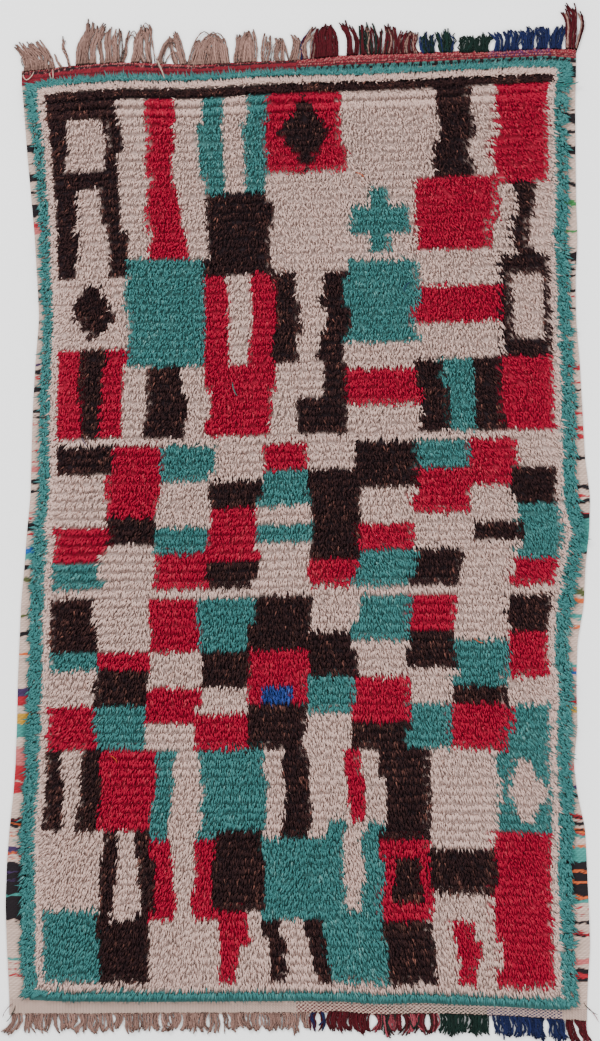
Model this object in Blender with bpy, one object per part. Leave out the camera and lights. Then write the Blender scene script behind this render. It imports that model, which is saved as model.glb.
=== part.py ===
"""Hand-knotted pile rug lying flat, with flat-woven end bands and fringes.

Metres, +Z up. The rug lies on z = 0 with its length along Y and its top end at +Y.
The middle of its bounding box is over the origin.
"""

import random
from collections import namedtuple
from math import pi, sin

import bmesh
import bpy
import numpy as np
from mathutils import Vector, noise

# Driving dimensions
WEAVE_THICK = 0.004
PILE_HEIGHT = 0.0205
GROOVE_HEIGHT = 0.0155
END_HEIGHT = 0.015
LUMP_HEIGHT = 0.0025
LUMP_SIZE = 0.09
PILE_ROWS = 96
FIELD_COLUMNS = 7
END_COLUMNS = 25
SHOULDER_WIDTH = 0.009
CROWN_WIDTH = 0.014
SHOULDER_SHARE = 0.72
LOCK_REACH = 0.006
LEAST_LOCK = 0.4
LEAST_MARGIN = 0.0015
FIELD_SEED = 3
END_LOCKS = 46
END_LOCK_NEAR = 0.003
END_LOCK_FAR = 0.011
TOP_PILE_START = 0.003
GAP = 0.0003
OUTLINE_SOFTENING = 0.012

# Locks of the fringe
TASSEL_FILL = 0.76
LOCK_FILL = 0.8
LOCK_TIP_SHARE = 0.42
LOCK_UNEVEN = 0.14
LEAN_UNEVEN = 0.0015
LOCK_HEIGHTS = (0.0048, 0.0044, 0.0024)
FRINGE_SEED = 11

# Side edges from the top end to the bottom end. The bare columns give how much flat-woven
# selvedge shows outside the pile.
Edge = namedtuple("Edge", "y left right bare_left bare_right")
EDGES = [
    Edge(0.98, -0.616, 0.605, 0.008, 0.006),
    Edge(0.92, -0.611, 0.603, 0.005, 0.012),
    Edge(0.80, -0.602, 0.604, 0.009, 0.009),
    Edge(0.70, -0.593, 0.605, 0.009, 0.010),
    Edge(0.62, -0.586, 0.608, 0.006, 0.017),
    Edge(0.52, -0.580, 0.604, 0.003, 0.006),
    Edge(0.44, -0.576, 0.605, 0.004, 0.005),
    Edge(0.33, -0.585, 0.614, 0.006, 0.008),
    Edge(0.24, -0.590, 0.619, 0.009, 0.010),
    Edge(0.13, -0.593, 0.625, 0.012, 0.012),
    Edge(0.05, -0.595, 0.636, 0.013, 0.022),
    Edge(-0.03, -0.603, 0.634, 0.013, 0.003),
    Edge(-0.10, -0.608, 0.626, 0.010, 0.012),
    Edge(-0.19, -0.616, 0.622, 0.014, 0.021),
    Edge(-0.27, -0.619, 0.608, 0.015, 0.015),
    Edge(-0.36, -0.623, 0.606, 0.017, 0.005),
    Edge(-0.46, -0.625, 0.608, 0.018, 0.009),
    Edge(-0.54, -0.628, 0.600, 0.018, 0.004),
    Edge(-0.61, -0.633, 0.609, 0.019, 0.005),
    Edge(-0.68, -0.641, 0.625, 0.021, 0.021),
    Edge(-0.76, -0.647, 0.629, 0.027, 0.027),
    Edge(-0.85, -0.650, 0.633, 0.029, 0.030),
    Edge(-0.94, -0.647, 0.636, 0.027, 0.029),
    Edge(-1.02, -0.643, 0.631, 0.026, 0.020),
    Edge(-1.08, -0.641, 0.629, 0.024, 0.016),
]

# End bands from left to right: the seam is where the pile starts, the hem is where the
# fringe starts.
Band = namedtuple("Band", "x seam hem")
TOP_BAND = [
    Band(-0.617, 0.960, 0.984),
    Band(-0.500, 0.972, 0.997),
    Band(-0.390, 0.979, 1.005),
    Band(-0.240, 0.978, 0.999),
    Band(-0.010, 0.993, 1.010),
    Band(0.110, 0.998, 1.021),
    Band(0.265, 1.004, 1.027),
    Band(0.435, 1.014, 1.031),
    Band(0.545, 1.019, 1.037),
    Band(0.606, 1.012, 1.032),
]
BOTTOM_BAND = [
    Band(-0.642, -1.063, -1.090),
    Band(-0.530, -1.069, -1.091),
    Band(-0.330, -1.070, -1.089),
    Band(0.000, -1.068, -1.088),
    Band(0.086, -1.069, -1.085),
    Band(0.170, -1.075, -1.093),
    Band(0.262, -1.072, -1.089),
    Band(0.438, -1.080, -1.094),
    Band(0.548, -1.087, -1.101),
    Band(0.630, -1.086, -1.106),
]

# Fringe from left to right. A stretch of hem carries tassels of so many locks each. Lean is
# how far the tips lie to the right of their roots, gather is how far they close up.
Stretch = namedtuple("Stretch", "start end tassels locks length lean gather")
TOP_FRINGE = [
    Stretch(-0.613, -0.541, 1, 8, 0.056, -0.022, 0.2),
    Stretch(-0.530, -0.524, 1, 1, 0.034, -0.014, 0.0),
    Stretch(-0.511, -0.505, 1, 1, 0.060, -0.018, 0.0),
    Stretch(-0.497, -0.449, 1, 5, 0.077, 0.007, 0.1),
    Stretch(-0.440, -0.405, 1, 4, 0.078, 0.002, 0.1),
    Stretch(-0.402, -0.391, 1, 2, 0.071, 0.010, -0.6),
    Stretch(-0.376, -0.358, 1, 2, 0.073, 0.011, 0.3),
    Stretch(-0.347, -0.328, 1, 2, 0.073, -0.003, 0.3),
    Stretch(-0.319, -0.303, 1, 2, 0.053, 0.014, 0.2),
    Stretch(-0.276, -0.252, 1, 3, 0.058, -0.010, 0.2),
    Stretch(-0.248, -0.157, 1, 10, 0.060, 0.008, 0.38),
    Stretch(-0.147, -0.099, 1, 5, 0.065, 0.002, 0.42),
    Stretch(-0.086, -0.072, 1, 2, 0.053, 0.005, 0.0),
    Stretch(-0.056, -0.036, 1, 3, 0.056, 0.006, 0.0),
    Stretch(-0.031, -0.005, 1, 3, 0.052, 0.008, 0.0),
    Stretch(-0.001, 0.025, 1, 4, 0.070, 0.008, 0.1),
    Stretch(0.029, 0.080, 1, 6, 0.074, -0.002, 0.1),
    Stretch(0.098, 0.124, 1, 3, 0.075, -0.006, 0.0),
    Stretch(0.128, 0.209, 2, 5, 0.062, 0.003, 0.0),
    Stretch(0.212, 0.262, 2, 3, 0.046, 0.000, 0.1),
    Stretch(0.265, 0.339, 2, 4, 0.040, 0.002, 0.1),
    Stretch(0.343, 0.418, 2, 4, 0.036, 0.003, 0.1),
    Stretch(0.422, 0.574, 5, 3, 0.041, 0.003, 0.0),
    Stretch(0.582, 0.605, 1, 5, 0.090, 0.022, -0.5),
]
BOTTOM_FRINGE = [
    Stretch(-0.640, -0.614, 1, 4, 0.040, -0.012, 0.0),
    Stretch(-0.608, -0.180, 20, 2, 0.037, -0.002, 0.15),
    Stretch(-0.176, 0.020, 9, 2, 0.036, 0.001, 0.15),
    Stretch(0.024, 0.050, 2, 1, 0.034, 0.004, 0.0),
    Stretch(0.064, 0.156, 2, 5, 0.037, 0.002, 0.05),
    Stretch(0.160, 0.298, 7, 2, 0.036, 0.002, 0.1),
    Stretch(0.304, 0.414, 6, 2, 0.038, 0.001, 0.2),
    Stretch(0.420, 0.576, 4, 4, 0.041, 0.009, 0.1),
    Stretch(0.584, 0.628, 3, 2, 0.043, 0.016, 0.0),
]

Lock = namedtuple("Lock", "x half_width length lean")

# Colours
CREAM_PILE = (0.52, 0.44, 0.39, 1.0)
RED_WEAVE = (0.33, 0.03, 0.05, 1.0)
CREAM_WEAVE = (0.50, 0.41, 0.35, 1.0)
YARN_ROUGHNESS = 0.9


def clear_scene():
    for thing in list(bpy.data.objects):
        bpy.data.objects.remove(thing, do_unlink=True)


def yarn_material(name, colour):
    material = bpy.data.materials.new(name)
    material.use_nodes = True
    shader = material.node_tree.nodes["Principled BSDF"]
    shader.inputs["Base Color"].default_value = colour
    shader.inputs["Roughness"].default_value = YARN_ROUGHNESS
    shader.inputs["Metallic"].default_value = 0.0
    return material


def read_column(table, key, column, at):
    """Value of a column at a place between the rows, with the corners softened."""
    order = sorted(table, key=lambda row: getattr(row, key))
    places = [getattr(row, key) for row in order]
    values = [getattr(row, column) for row in order]
    near = [at - OUTLINE_SOFTENING, at, at + OUTLINE_SOFTENING]
    return float(np.mean(np.interp(near, places, values)))


def seam_line(x, down):
    """Y of the knotted row that lies the given share of the way down the field."""
    top = read_column(TOP_BAND, "x", "seam", x) - GAP / 2.0
    bottom = read_column(BOTTOM_BAND, "x", "seam", x) + GAP / 2.0
    return top + (bottom - top) * down


def outline_at(down):
    """Both side edges and their bare margins at one row of the field."""
    left_y = seam_line(EDGES[0].left, down)
    right_y = seam_line(EDGES[0].right, down)
    left = read_column(EDGES, "y", "left", left_y)
    right = read_column(EDGES, "y", "right", right_y)
    bare_left = read_column(EDGES, "y", "bare_left", left_y)
    bare_right = read_column(EDGES, "y", "bare_right", right_y)
    return left, right, bare_left, bare_right


def pile_station(down, height, reach, columns=FIELD_COLUMNS):
    """Points across the pile: selvedge, foot of the pile, shoulder, and the lumpy middle."""
    left, right, bare_left, bare_right = outline_at(down)
    foot_left = left + max(LEAST_MARGIN, bare_left - reach)
    foot_right = right - max(LEAST_MARGIN, bare_right - reach)
    shoulders = (foot_left + SHOULDER_WIDTH, foot_right - SHOULDER_WIDTH)
    crown = np.linspace(
        foot_left + SHOULDER_WIDTH + CROWN_WIDTH,
        foot_right - SHOULDER_WIDTH - CROWN_WIDTH,
        columns,
    )
    points = [(left, WEAVE_THICK), (foot_left, WEAVE_THICK)]
    for x in (shoulders[0], *crown, shoulders[1]):
        share = SHOULDER_SHARE if x in shoulders else 1.0
        place = Vector((x, seam_line(x, down), 0.0)) / LUMP_SIZE
        points.append((x, height * share + LUMP_HEIGHT * noise.noise(place)))
    points += [(foot_right, WEAVE_THICK), (right, WEAVE_THICK)]
    return [Vector((x, seam_line(x, down), z)) for x, z in points]


def flat_station(down, inward=lambda _: 0.0):
    """Points across the flat weave at an end, each moved inward by its own amount."""
    left, right, _, _ = outline_at(down)
    points = []
    for index, x in enumerate(np.linspace(left, right, 2 * END_LOCKS + 1)):
        y = seam_line(float(x), down) + inward(index)
        points.append(Vector((float(x), y, WEAVE_THICK)))
    return points


def end_lock_edge(index):
    """The last row's locks: their tips near the end of the cloth, the notches further in."""
    return END_LOCK_NEAR if index % 2 else END_LOCK_FAR


def start_lock_edge(index):
    """The first row's locks, which start close to the end band."""
    return -TOP_PILE_START if index % 2 else -2.0 * TOP_PILE_START


def field_stations():
    """All rows of points from the top end to the bottom end."""
    length = seam_line(0.0, 0.0) - seam_line(0.0, 1.0)
    first = (TOP_PILE_START + SHOULDER_WIDTH) / length
    last = 1.0 - (END_LOCK_FAR + SHOULDER_WIDTH / 2.0) / length
    wobble = random.Random(FIELD_SEED)
    stations = [flat_station(0.0), flat_station(0.0, start_lock_edge)]
    for step in range(2 * PILE_ROWS + 1):
        down = first + (last - first) * step / (2 * PILE_ROWS)
        if step in (0, 2 * PILE_ROWS):
            stations.append(pile_station(down, END_HEIGHT, 0.0, END_COLUMNS))
        elif step % 2:
            reach = LOCK_REACH * wobble.uniform(LEAST_LOCK, 1.0)
            stations.append(pile_station(down, PILE_HEIGHT, reach))
        else:
            stations.append(pile_station(down, GROOVE_HEIGHT, -LOCK_REACH * LEAST_LOCK))
    return stations + [flat_station(1.0, end_lock_edge), flat_station(1.0)]


def stitch(mesh, near, far):
    """Fill the strip between two rows of vertices, always across the shorter diagonal."""
    i = 0
    j = 0
    while i < len(near) - 1 or j < len(far) - 1:
        if j == len(far) - 1:
            along_near = True
        elif i == len(near) - 1:
            along_near = False
        else:
            near_step = (near[i + 1].co - far[j].co).length
            along_near = near_step <= (far[j + 1].co - near[i].co).length
        third = near[i + 1] if along_near else far[j + 1]
        mesh.faces.new((near[i], far[j], third))
        i += along_near
        j += not along_near


def finish_object(name, mesh, colour):
    """Turn a bmesh into a named object with its own material."""
    bmesh.ops.recalc_face_normals(mesh, faces=mesh.faces)
    data = bpy.data.meshes.new(name)
    mesh.to_mesh(data)
    mesh.free()
    made = bpy.data.objects.new(name, data)
    bpy.context.scene.collection.objects.link(made)
    data.materials.append(yarn_material(name + "_yarn", colour))
    return made


def make_pile_field():
    """The knotted field with its flat selvedges: a ridged top stitched row by row, a flat
    underside and the wall between them."""
    mesh = bmesh.new()
    lines = [[mesh.verts.new(point) for point in row] for row in field_stations()]
    for near, far in zip(lines, lines[1:]):
        stitch(mesh, near, far)
    rim = [edge for edge in mesh.edges if edge.is_boundary]
    lower = bmesh.ops.extrude_edge_only(mesh, edges=rim)["geom"]
    for part in lower:
        if isinstance(part, bmesh.types.BMVert):
            part.co.z = 0.0
    floor_edges = [
        part for part in lower if isinstance(part, bmesh.types.BMEdge) and part.is_boundary
    ]
    bmesh.ops.triangle_fill(mesh, edges=floor_edges, use_beauty=True)
    return finish_object("pile_field", mesh, CREAM_PILE)


def fringe_locks(stretches):
    """Every lock of a fringe from left to right, the middle ones of a tassel the longest."""
    uneven = random.Random(FRINGE_SEED)
    locks = []
    for stretch in stretches:
        pitch = (stretch.end - stretch.start) / stretch.tassels
        width = pitch * (TASSEL_FILL if stretch.tassels > 1 else 1.0)
        for tassel in range(stretch.tassels):
            middle = stretch.start + pitch * (tassel + 0.5)
            lean = stretch.lean + uneven.uniform(-LEAN_UNEVEN, LEAN_UNEVEN)
            size = 1.0 + uneven.uniform(-LOCK_UNEVEN, LOCK_UNEVEN)
            for index in range(stretch.locks):
                share = (index + 0.5) / stretch.locks
                x = middle + width * (share - 0.5)
                crown = 0.88 + 0.12 * sin(pi * share)
                length = stretch.length * size * crown
                length *= 1.0 + uneven.uniform(-LOCK_UNEVEN, LOCK_UNEVEN) / 2.0
                half_width = LOCK_FILL * width / stretch.locks / 2.0
                turn = lean + stretch.gather * (middle - x)
                locks.append(Lock(x, half_width, length, turn))
    return locks


def grow_lock(mesh, wall, lock, hem_y, outward):
    """Draw one lock out of the band's wall in four-sided steps that lie on the floor."""
    steps = len(LOCK_HEIGHTS)
    centre_x = lock.x
    half_height = WEAVE_THICK / 2.0
    for step, height in enumerate(LOCK_HEIGHTS, start=1):
        share = step / steps
        wall = bmesh.ops.extrude_discrete_faces(mesh, faces=[wall])["faces"][0]
        x = lock.x + lock.lean * share ** 1.2
        half_width = lock.half_width * (1.0 - (1.0 - LOCK_TIP_SHARE) * share)
        y = hem_y + outward * lock.length * share
        for vert in wall.verts:
            side = 1.0 if vert.co.x > centre_x else -1.0
            vert.co = (x + side * half_width, y, height if vert.co.z > half_height else 0.0)
        centre_x = x
        half_height = height / 2.0


def make_end_band(name, table, stretches, outward, colour):
    """A flat-woven strip with the fringe drawn out of its hem."""
    locks = fringe_locks(stretches)
    field_end = flat_station(0.0 if outward > 0.0 else 1.0)
    corners = [field_end[0].x]
    for lock in locks:
        corners += [lock.x - lock.half_width, lock.x + lock.half_width]
    corners.append(field_end[-1].x)
    mesh = bmesh.new()
    seam = [mesh.verts.new((point.x, point.y + outward * GAP, 0.0)) for point in field_end]
    hem = [mesh.verts.new((x, read_column(table, "x", "hem", x), 0.0)) for x in corners]
    stitch(mesh, seam, hem)
    roots = [mesh.edges.get((hem[2 * i + 1], hem[2 * i + 2])) for i in range(len(locks))]
    raised = bmesh.ops.extrude_face_region(mesh, geom=mesh.faces[:], use_keep_orig=True)
    for part in raised["geom"]:
        if isinstance(part, bmesh.types.BMVert):
            part.co.z = WEAVE_THICK
    for lock, root in zip(locks, roots):
        wall = next(face for face in root.link_faces if len(face.verts) == 4)
        hem_y = read_column(table, "x", "hem", lock.x)
        grow_lock(mesh, wall, lock, hem_y, outward)
    return finish_object(name, mesh, colour)


def centre_over_origin(made):
    """Move all meshes together so that the middle of their box is over the origin."""
    points = [vert.co for thing in made for vert in thing.data.vertices]
    for axis in (0, 1):
        low = min(point[axis] for point in points)
        high = max(point[axis] for point in points)
        middle = (low + high) / 2.0
        for point in points:
            point[axis] -= middle


def main():
    clear_scene()
    made = [
        make_pile_field(),
        make_end_band("top_band", TOP_BAND, TOP_FRINGE, 1.0, RED_WEAVE),
        make_end_band("bottom_band", BOTTOM_BAND, BOTTOM_FRINGE, -1.0, CREAM_WEAVE),
    ]
    centre_over_origin(made)


main()
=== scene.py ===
import random
from collections import namedtuple
from functools import partial
from math import pi, radians

import bpy
import numpy as np
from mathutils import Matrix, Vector


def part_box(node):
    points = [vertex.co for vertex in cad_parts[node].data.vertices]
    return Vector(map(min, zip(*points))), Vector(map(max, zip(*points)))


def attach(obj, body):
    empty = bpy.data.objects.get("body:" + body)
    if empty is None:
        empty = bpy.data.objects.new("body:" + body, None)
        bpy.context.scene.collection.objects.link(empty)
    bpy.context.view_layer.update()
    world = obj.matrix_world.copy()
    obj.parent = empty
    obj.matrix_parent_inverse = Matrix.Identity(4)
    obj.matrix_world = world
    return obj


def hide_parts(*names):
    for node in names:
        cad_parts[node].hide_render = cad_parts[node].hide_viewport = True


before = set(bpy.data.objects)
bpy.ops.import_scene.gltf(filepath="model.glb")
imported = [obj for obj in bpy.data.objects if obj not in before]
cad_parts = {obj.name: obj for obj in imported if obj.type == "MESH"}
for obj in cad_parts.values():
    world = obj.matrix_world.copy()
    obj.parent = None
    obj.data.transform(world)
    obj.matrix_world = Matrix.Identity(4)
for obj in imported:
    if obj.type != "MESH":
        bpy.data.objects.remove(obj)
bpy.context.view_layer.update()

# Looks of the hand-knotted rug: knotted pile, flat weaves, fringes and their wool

rng = np.random.default_rng(41)

# Counts of rows, knots, strands, faces and turns
ROWS = 104
KNOTS = 156
LANES = 6
BORDER_KNOTS = 5
TEAL_KNOTS = 3
TOP_BORDER_ROWS = 3
CELL_SHIFT_ROWS = 1
EDGE_SHIFT_KNOTS = 1
DROP_ROWS = 8
STRAND_SIDES = 3
BED_COLUMNS = 78
BED_SHIFT = 2.0
GROUND_ROWS = 960
MARGIN_COLUMNS = 9
BAND_COLUMNS = 780
BAND_ROWS = 14
YARN_SIDES = 4
YARN_RINGS = 8
YARN_TURNS = 3.0

# Sizes in metres
WEAVE_THICK = 0.004
WEAVE_DIP = 0.0014
CLEARANCE = 0.0003
SOFTENING = 0.012
ROOT_HEIGHT = 0.0045
ROOT_INSET = 0.010
FIRST_ROOTS = (0.015, 0.030, 0.045, 0.060)
LAST_ROOT = 0.031
RIGHT_DROP = 0.006
REACH = 0.0225
REACH_UNEVEN = 0.0070
ROOT_SCATTER = 0.0062
PILE_TOP = 0.0200
PILE_LEAST = 0.008
STRAND_WIDTH = 0.0038
BED_CREST = 0.0130
BED_GROOVE = 0.0090
BED_START = 0.005
BED_INSET = 0.006
BED_END = 0.023
MARGIN_WIDTH = 0.050
STRIPE_STEP = 0.0022
BAND_UNDER = 0.008
YARN_WIDTH = 0.0050
YARN_ROOT = 0.006
LONG_LOCK = 0.05
LEAN_UNEVEN = 0.0015

# Shares, factors and powers
RIM_START = 0.84
RIM_WIDTH = 0.14
RIM_REACH = 0.75
RIM_FALL = 0.35
EDGE_UNEVEN = 0.05
LOOSE_LEAN = 0.30
BED_SHADE = 0.85
STRAND_CREST = 0.55
STRAND_TIP = 0.85
STRAND_LEAN = 2.1
STRAND_ROUND = 1.73
YARN_CROWD = 2.0
DYED_CROWD = 1.5
YARN_TIP = 0.8
STRAY_TIP = 0.5
ARCH_WIDTH = 0.36
OVAL = 0.75
FRAYED = 0.7
ROOT_PINCH = 0.28
TASSEL_FILL = 0.96
LOCK_FILL = 1.0
LOCK_TIP_SHARE = 0.7
LOCK_UNEVEN = 0.14

# Turns of the lie, in radians: its slow and its quicker drift over the field, outward to the
# sides, more at each rim, and by chance for a rim's rows and for single knots
TURN_SLOW = 0.20
TURN_QUICK = 0.22
TURN_SIDE = 0.42
TURN_LEFT_RIM = 0.30
TURN_RIGHT_RIM = 0.34
TURN_RIM_ROW = 0.28
TURN_KNOT = 0.13

# How the pile changes down the rug: rows, then the values there. In turn: how far the strands
# stray sideways, how strongly they lie down, how far they scatter, and how far they reach.
WILD_BY_ROW = ([0, 40, 60, 103], [1.0, 1.0, 0.6, 0.5])
PULL_BY_ROW = ([0, 1, 2, 3, 4, 6, 50, 103], [-0.50, -0.40, -0.05, 0.50, 0.78, 0.84, 0.94, 1.0])
MESS_BY_ROW = ([0, 3, 5, 50, 102, 103], [0.6, 0.6, 1.35, 1.30, 1.55, 0.7])
FALL_BY_ROW = ([0, 3, 6, 40, 103], [1.0, 1.0, 0.72, 0.85, 1.10])

# Seeds
PLAN_SEED = 6
FRINGE_SEED = 11

# The photo's frame: metres to a pixel, its size in pixels and the rug's middle in it
PIXEL = 0.0022
PHOTO_WIDTH = 600
PHOTO_HEIGHT = 1041
CENTRE_PIXEL = (301.0, 519.0)
CAMERA_HEIGHT = 9.0
SENSOR_MM = 36.0

# Parts of the field, in rows and knots, where more strands fill the knots because they stand
# more upright or fan out: the first rows twice over, then both side edges
FILLED = [np.s_[:5, :], np.s_[:5, :], np.s_[5:, :5], np.s_[5:, -5:]]

# The rug's outline, the same sizes as its solids: side edges with their bare margins, and
# both end bands from the seam at the pile to the hem at the fringe
Edge = namedtuple("Edge", "y left right bare_left bare_right")
EDGES = [Edge(*row) for row in (
    (0.98, -0.616, 0.605, 0.008, 0.006),
    (0.92, -0.611, 0.603, 0.005, 0.012),
    (0.80, -0.602, 0.604, 0.009, 0.009),
    (0.70, -0.593, 0.605, 0.009, 0.010),
    (0.62, -0.586, 0.608, 0.006, 0.017),
    (0.52, -0.580, 0.604, 0.003, 0.006),
    (0.44, -0.576, 0.605, 0.004, 0.005),
    (0.33, -0.585, 0.614, 0.006, 0.008),
    (0.24, -0.590, 0.619, 0.009, 0.010),
    (0.13, -0.593, 0.625, 0.012, 0.012),
    (0.05, -0.595, 0.636, 0.013, 0.022),
    (-0.03, -0.603, 0.634, 0.013, 0.003),
    (-0.10, -0.608, 0.626, 0.010, 0.012),
    (-0.19, -0.616, 0.622, 0.014, 0.021),
    (-0.27, -0.619, 0.608, 0.015, 0.015),
    (-0.36, -0.623, 0.606, 0.017, 0.005),
    (-0.46, -0.625, 0.608, 0.018, 0.009),
    (-0.54, -0.628, 0.600, 0.018, 0.004),
    (-0.61, -0.633, 0.609, 0.019, 0.005),
    (-0.68, -0.641, 0.625, 0.021, 0.021),
    (-0.76, -0.647, 0.629, 0.027, 0.027),
    (-0.85, -0.650, 0.633, 0.029, 0.030),
    (-0.94, -0.647, 0.636, 0.027, 0.029),
    (-1.02, -0.643, 0.631, 0.026, 0.020),
    (-1.08, -0.641, 0.629, 0.024, 0.016),
)]
Band = namedtuple("Band", "x seam hem")
TOP_BAND = [Band(*row) for row in (
    (-0.617, 0.960, 0.984),
    (-0.500, 0.972, 0.997),
    (-0.390, 0.979, 1.005),
    (-0.240, 0.978, 0.999),
    (-0.010, 0.993, 1.010),
    (0.110, 0.998, 1.021),
    (0.265, 1.004, 1.027),
    (0.435, 1.014, 1.031),
    (0.545, 1.019, 1.037),
    (0.606, 1.012, 1.032),
)]
BOTTOM_BAND = [Band(*row) for row in (
    (-0.642, -1.063, -1.090),
    (-0.530, -1.069, -1.091),
    (-0.330, -1.070, -1.089),
    (0.000, -1.068, -1.088),
    (0.086, -1.069, -1.085),
    (0.170, -1.075, -1.093),
    (0.262, -1.072, -1.089),
    (0.438, -1.080, -1.094),
    (0.548, -1.087, -1.101),
    (0.630, -1.086, -1.106),
)]

# Fringe from left to right, as in the solids, with the yarn colours of each stretch
Stretch = namedtuple("Stretch", "start end tassels locks length lean gather yarns")
TOP_FRINGE = [Stretch(*row) for row in (
    (-0.613, -0.541, 1, 8, 0.056, -0.022, 0.2, "b"),
    (-0.530, -0.524, 1, 1, 0.034, -0.014, 0.0, "b"),
    (-0.511, -0.505, 1, 1, 0.060, -0.018, 0.0, "b"),
    (-0.497, -0.449, 1, 5, 0.077, 0.007, 0.1, "b"),
    (-0.440, -0.405, 1, 4, 0.078, 0.002, 0.1, "b"),
    (-0.402, -0.391, 1, 2, 0.071, 0.010, -0.6, "b"),
    (-0.376, -0.358, 1, 2, 0.073, 0.011, 0.3, "b"),
    (-0.347, -0.328, 1, 2, 0.073, -0.003, 0.3, "b"),
    (-0.319, -0.303, 1, 2, 0.053, 0.014, 0.2, "b"),
    (-0.276, -0.252, 1, 3, 0.058, -0.010, 0.2, "b"),
    (-0.248, -0.157, 1, 10, 0.060, 0.008, 0.38, "b"),
    (-0.147, -0.099, 1, 5, 0.065, 0.002, 0.42, "b"),
    (-0.086, -0.072, 1, 2, 0.053, 0.005, 0.0, "b"),
    (-0.056, -0.036, 1, 3, 0.056, 0.006, 0.0, "b"),
    (-0.031, -0.005, 1, 3, 0.052, 0.008, 0.0, "b"),
    (-0.001, 0.025, 1, 4, 0.070, 0.008, 0.1, "bndb"),
    (0.029, 0.080, 1, 6, 0.074, -0.002, 0.1, "d"),
    (0.098, 0.124, 1, 3, 0.075, -0.006, 0.0, "d"),
    (0.128, 0.209, 2, 5, 0.062, 0.003, 0.0, "ddbgd"),
    (0.212, 0.262, 2, 3, 0.046, 0.000, 0.1, "dddb"),
    (0.265, 0.339, 2, 4, 0.040, 0.002, 0.1, "ggn"),
    (0.343, 0.418, 2, 4, 0.036, 0.003, 0.1, "g"),
    (0.422, 0.574, 5, 3, 0.041, 0.003, 0.0, "n"),
    (0.582, 0.605, 1, 5, 0.090, 0.022, -0.5, "ddbd"),
)]
BOTTOM_FRINGE = [Stretch(*row) for row in (
    (-0.640, -0.614, 1, 4, 0.040, -0.012, 0.0, "b"),
    (-0.608, -0.180, 20, 2, 0.037, -0.002, 0.15, "b"),
    (-0.176, 0.020, 9, 2, 0.036, 0.001, 0.15, "b"),
    (0.024, 0.050, 2, 1, 0.034, 0.004, 0.0, "dn"),
    (0.064, 0.156, 2, 5, 0.037, 0.002, 0.05, "d"),
    (0.160, 0.298, 7, 2, 0.036, 0.002, 0.1, "dgpd"),
    (0.304, 0.414, 6, 2, 0.038, 0.001, 0.2, "g"),
    (0.420, 0.576, 4, 4, 0.041, 0.009, 0.1, "n"),
    (0.584, 0.628, 3, 2, 0.043, 0.016, 0.0, "ddp"),
)]
Arch = namedtuple("Arch", "start end height lean spread count yarn")
TOP_ARCHES = [Arch(*row) for row in (
    (-0.368, -0.334, 0.072, 0.000, 0.006, 7, "b"),
    (-0.394, -0.362, 0.064, 0.010, 0.003, 2, "b"),
    (-0.312, -0.258, 0.054, -0.003, 0.006, 8, "b"),
    (-0.300, -0.270, 0.026, 0.006, 0.006, 2, "b"),
    (-0.230, -0.174, 0.060, 0.006, 0.016, 14, "b"),
    (-0.142, -0.108, 0.062, 0.006, 0.005, 6, "b"),
    (-0.062, -0.026, 0.046, -0.002, 0.004, 2, "b"),
    (-0.612, -0.586, -0.020, -0.004, 0.001, 1, "w"),
    (-0.556, -0.546, -0.026, 0.004, 0.001, 1, "w"),
    (-0.600, -0.560, 0.034, -0.026, 0.008, 6, "b"),
    (-0.580, -0.545, 0.026, -0.036, 0.006, 4, "b"),
)]
BOTTOM_ARCHES = [Arch(*row) for row in (
    (-0.520, -0.508, -0.026, 0.003, 0.002, 2, "b"),
    (-0.388, -0.362, -0.030, 0.004, 0.003, 2, "b"),
    (-0.300, -0.276, -0.032, -0.005, 0.003, 3, "b"),
    (-0.236, -0.214, -0.028, 0.004, 0.003, 2, "b"),
    (-0.128, -0.100, -0.030, 0.003, 0.003, 3, "b"),
    (-0.060, -0.042, -0.026, -0.003, 0.002, 2, "b"),
    (0.190, 0.206, -0.028, 0.003, 0.002, 2, "p"),
    (0.240, 0.262, -0.030, -0.003, 0.002, 2, "g"),
)]
Stray = namedtuple("Stray", "x y reach_x reach_y bend width level yarn")
STRAYS = [Stray(*row) for row in (
    (-0.330, 1.050, 0.028, -0.074, 0.003, 0.0022, 0.0095, "w"),
    (-0.318, 1.010, 0.018, -0.044, -0.002, 0.0044, 0.0215, "w"),
    (0.566, 0.952, 0.044, 0.008, 0.003, 0.0040, 0.0180, "t"),
    (0.560, 0.946, 0.040, 0.016, -0.003, 0.0036, 0.0190, "t"),
    (-0.634, -1.066, -0.022, -0.030, 0.004, 0.0020, 0.0060, "d"),
    (-0.628, -1.070, -0.020, -0.036, -0.003, 0.0024, 0.0055, "g"),
    (0.622, -1.064, 0.030, -0.026, 0.003, 0.0024, 0.0060, "g"),
    (0.628, -1.072, 0.026, -0.034, -0.003, 0.0022, 0.0055, "p"),
    (-0.150, 0.300, 0.010, -0.030, 0.003, 0.0030, 0.0215, "t"),
    (0.240, 0.520, -0.014, -0.022, 0.004, 0.0022, 0.0215, "n"),
    (0.380, -0.260, 0.020, -0.012, 0.003, 0.0022, 0.0215, "o"),
    (-0.420, -0.520, 0.016, -0.016, -0.004, 0.0022, 0.0215, "o"),
    (0.060, -0.700, -0.012, -0.024, 0.003, 0.0022, 0.0215, "t"),
    (-0.480, 0.180, 0.012, -0.020, 0.003, 0.0022, 0.0215, "n"),
    (0.120, 0.760, 0.018, -0.010, -0.003, 0.0022, 0.0215, "o"),
)]

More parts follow.
